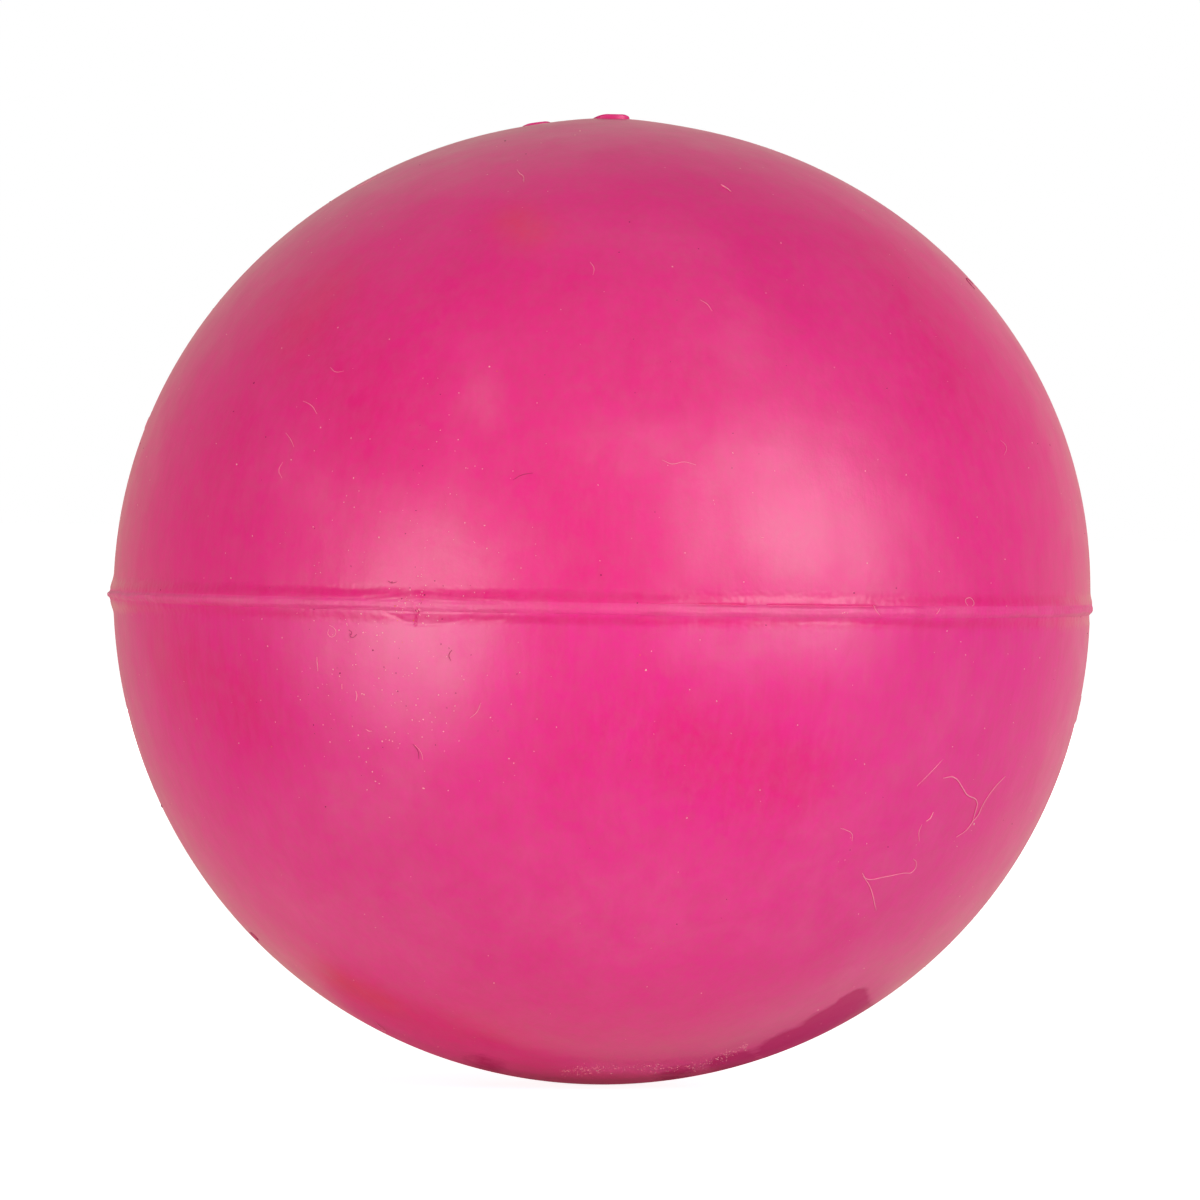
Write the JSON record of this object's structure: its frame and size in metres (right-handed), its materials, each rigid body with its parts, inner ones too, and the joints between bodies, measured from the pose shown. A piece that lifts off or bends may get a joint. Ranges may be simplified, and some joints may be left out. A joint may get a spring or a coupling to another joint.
{
  "type": "rubber ball",
  "caption": "Hollow moulded rubber ball of bonded half shells, with a fine raised ridge around the seam, for bouncing, throwing and catching.",
  "frame": {"origin": "centre of the ball, where its pole axis crosses the seam plane", "axes": "+Z along the pole axis, square to the seam, towards the half with the two raised pads; +X to the right and +Y away as the picture shows the ball"},
  "size_m": [0.0606, 0.0606, 0.0596],
  "materials": {
    "shell_rubber": "satin, moulded",
    "bonding_rubber": "satin, uneven where it was squeezed out and trimmed",
    "gum_rubber": "matt",
    "sheet_rubber": "matt"
  },
  "bodies": {
    "root": {"upper_half_shell": "shell_rubber", "lower_half_shell": "shell_rubber", "bonding_ring": "bonding_rubber", "sealing_plug": "gum_rubber", "plug_patch": "sheet_rubber"}
  },
  "joints": []
}
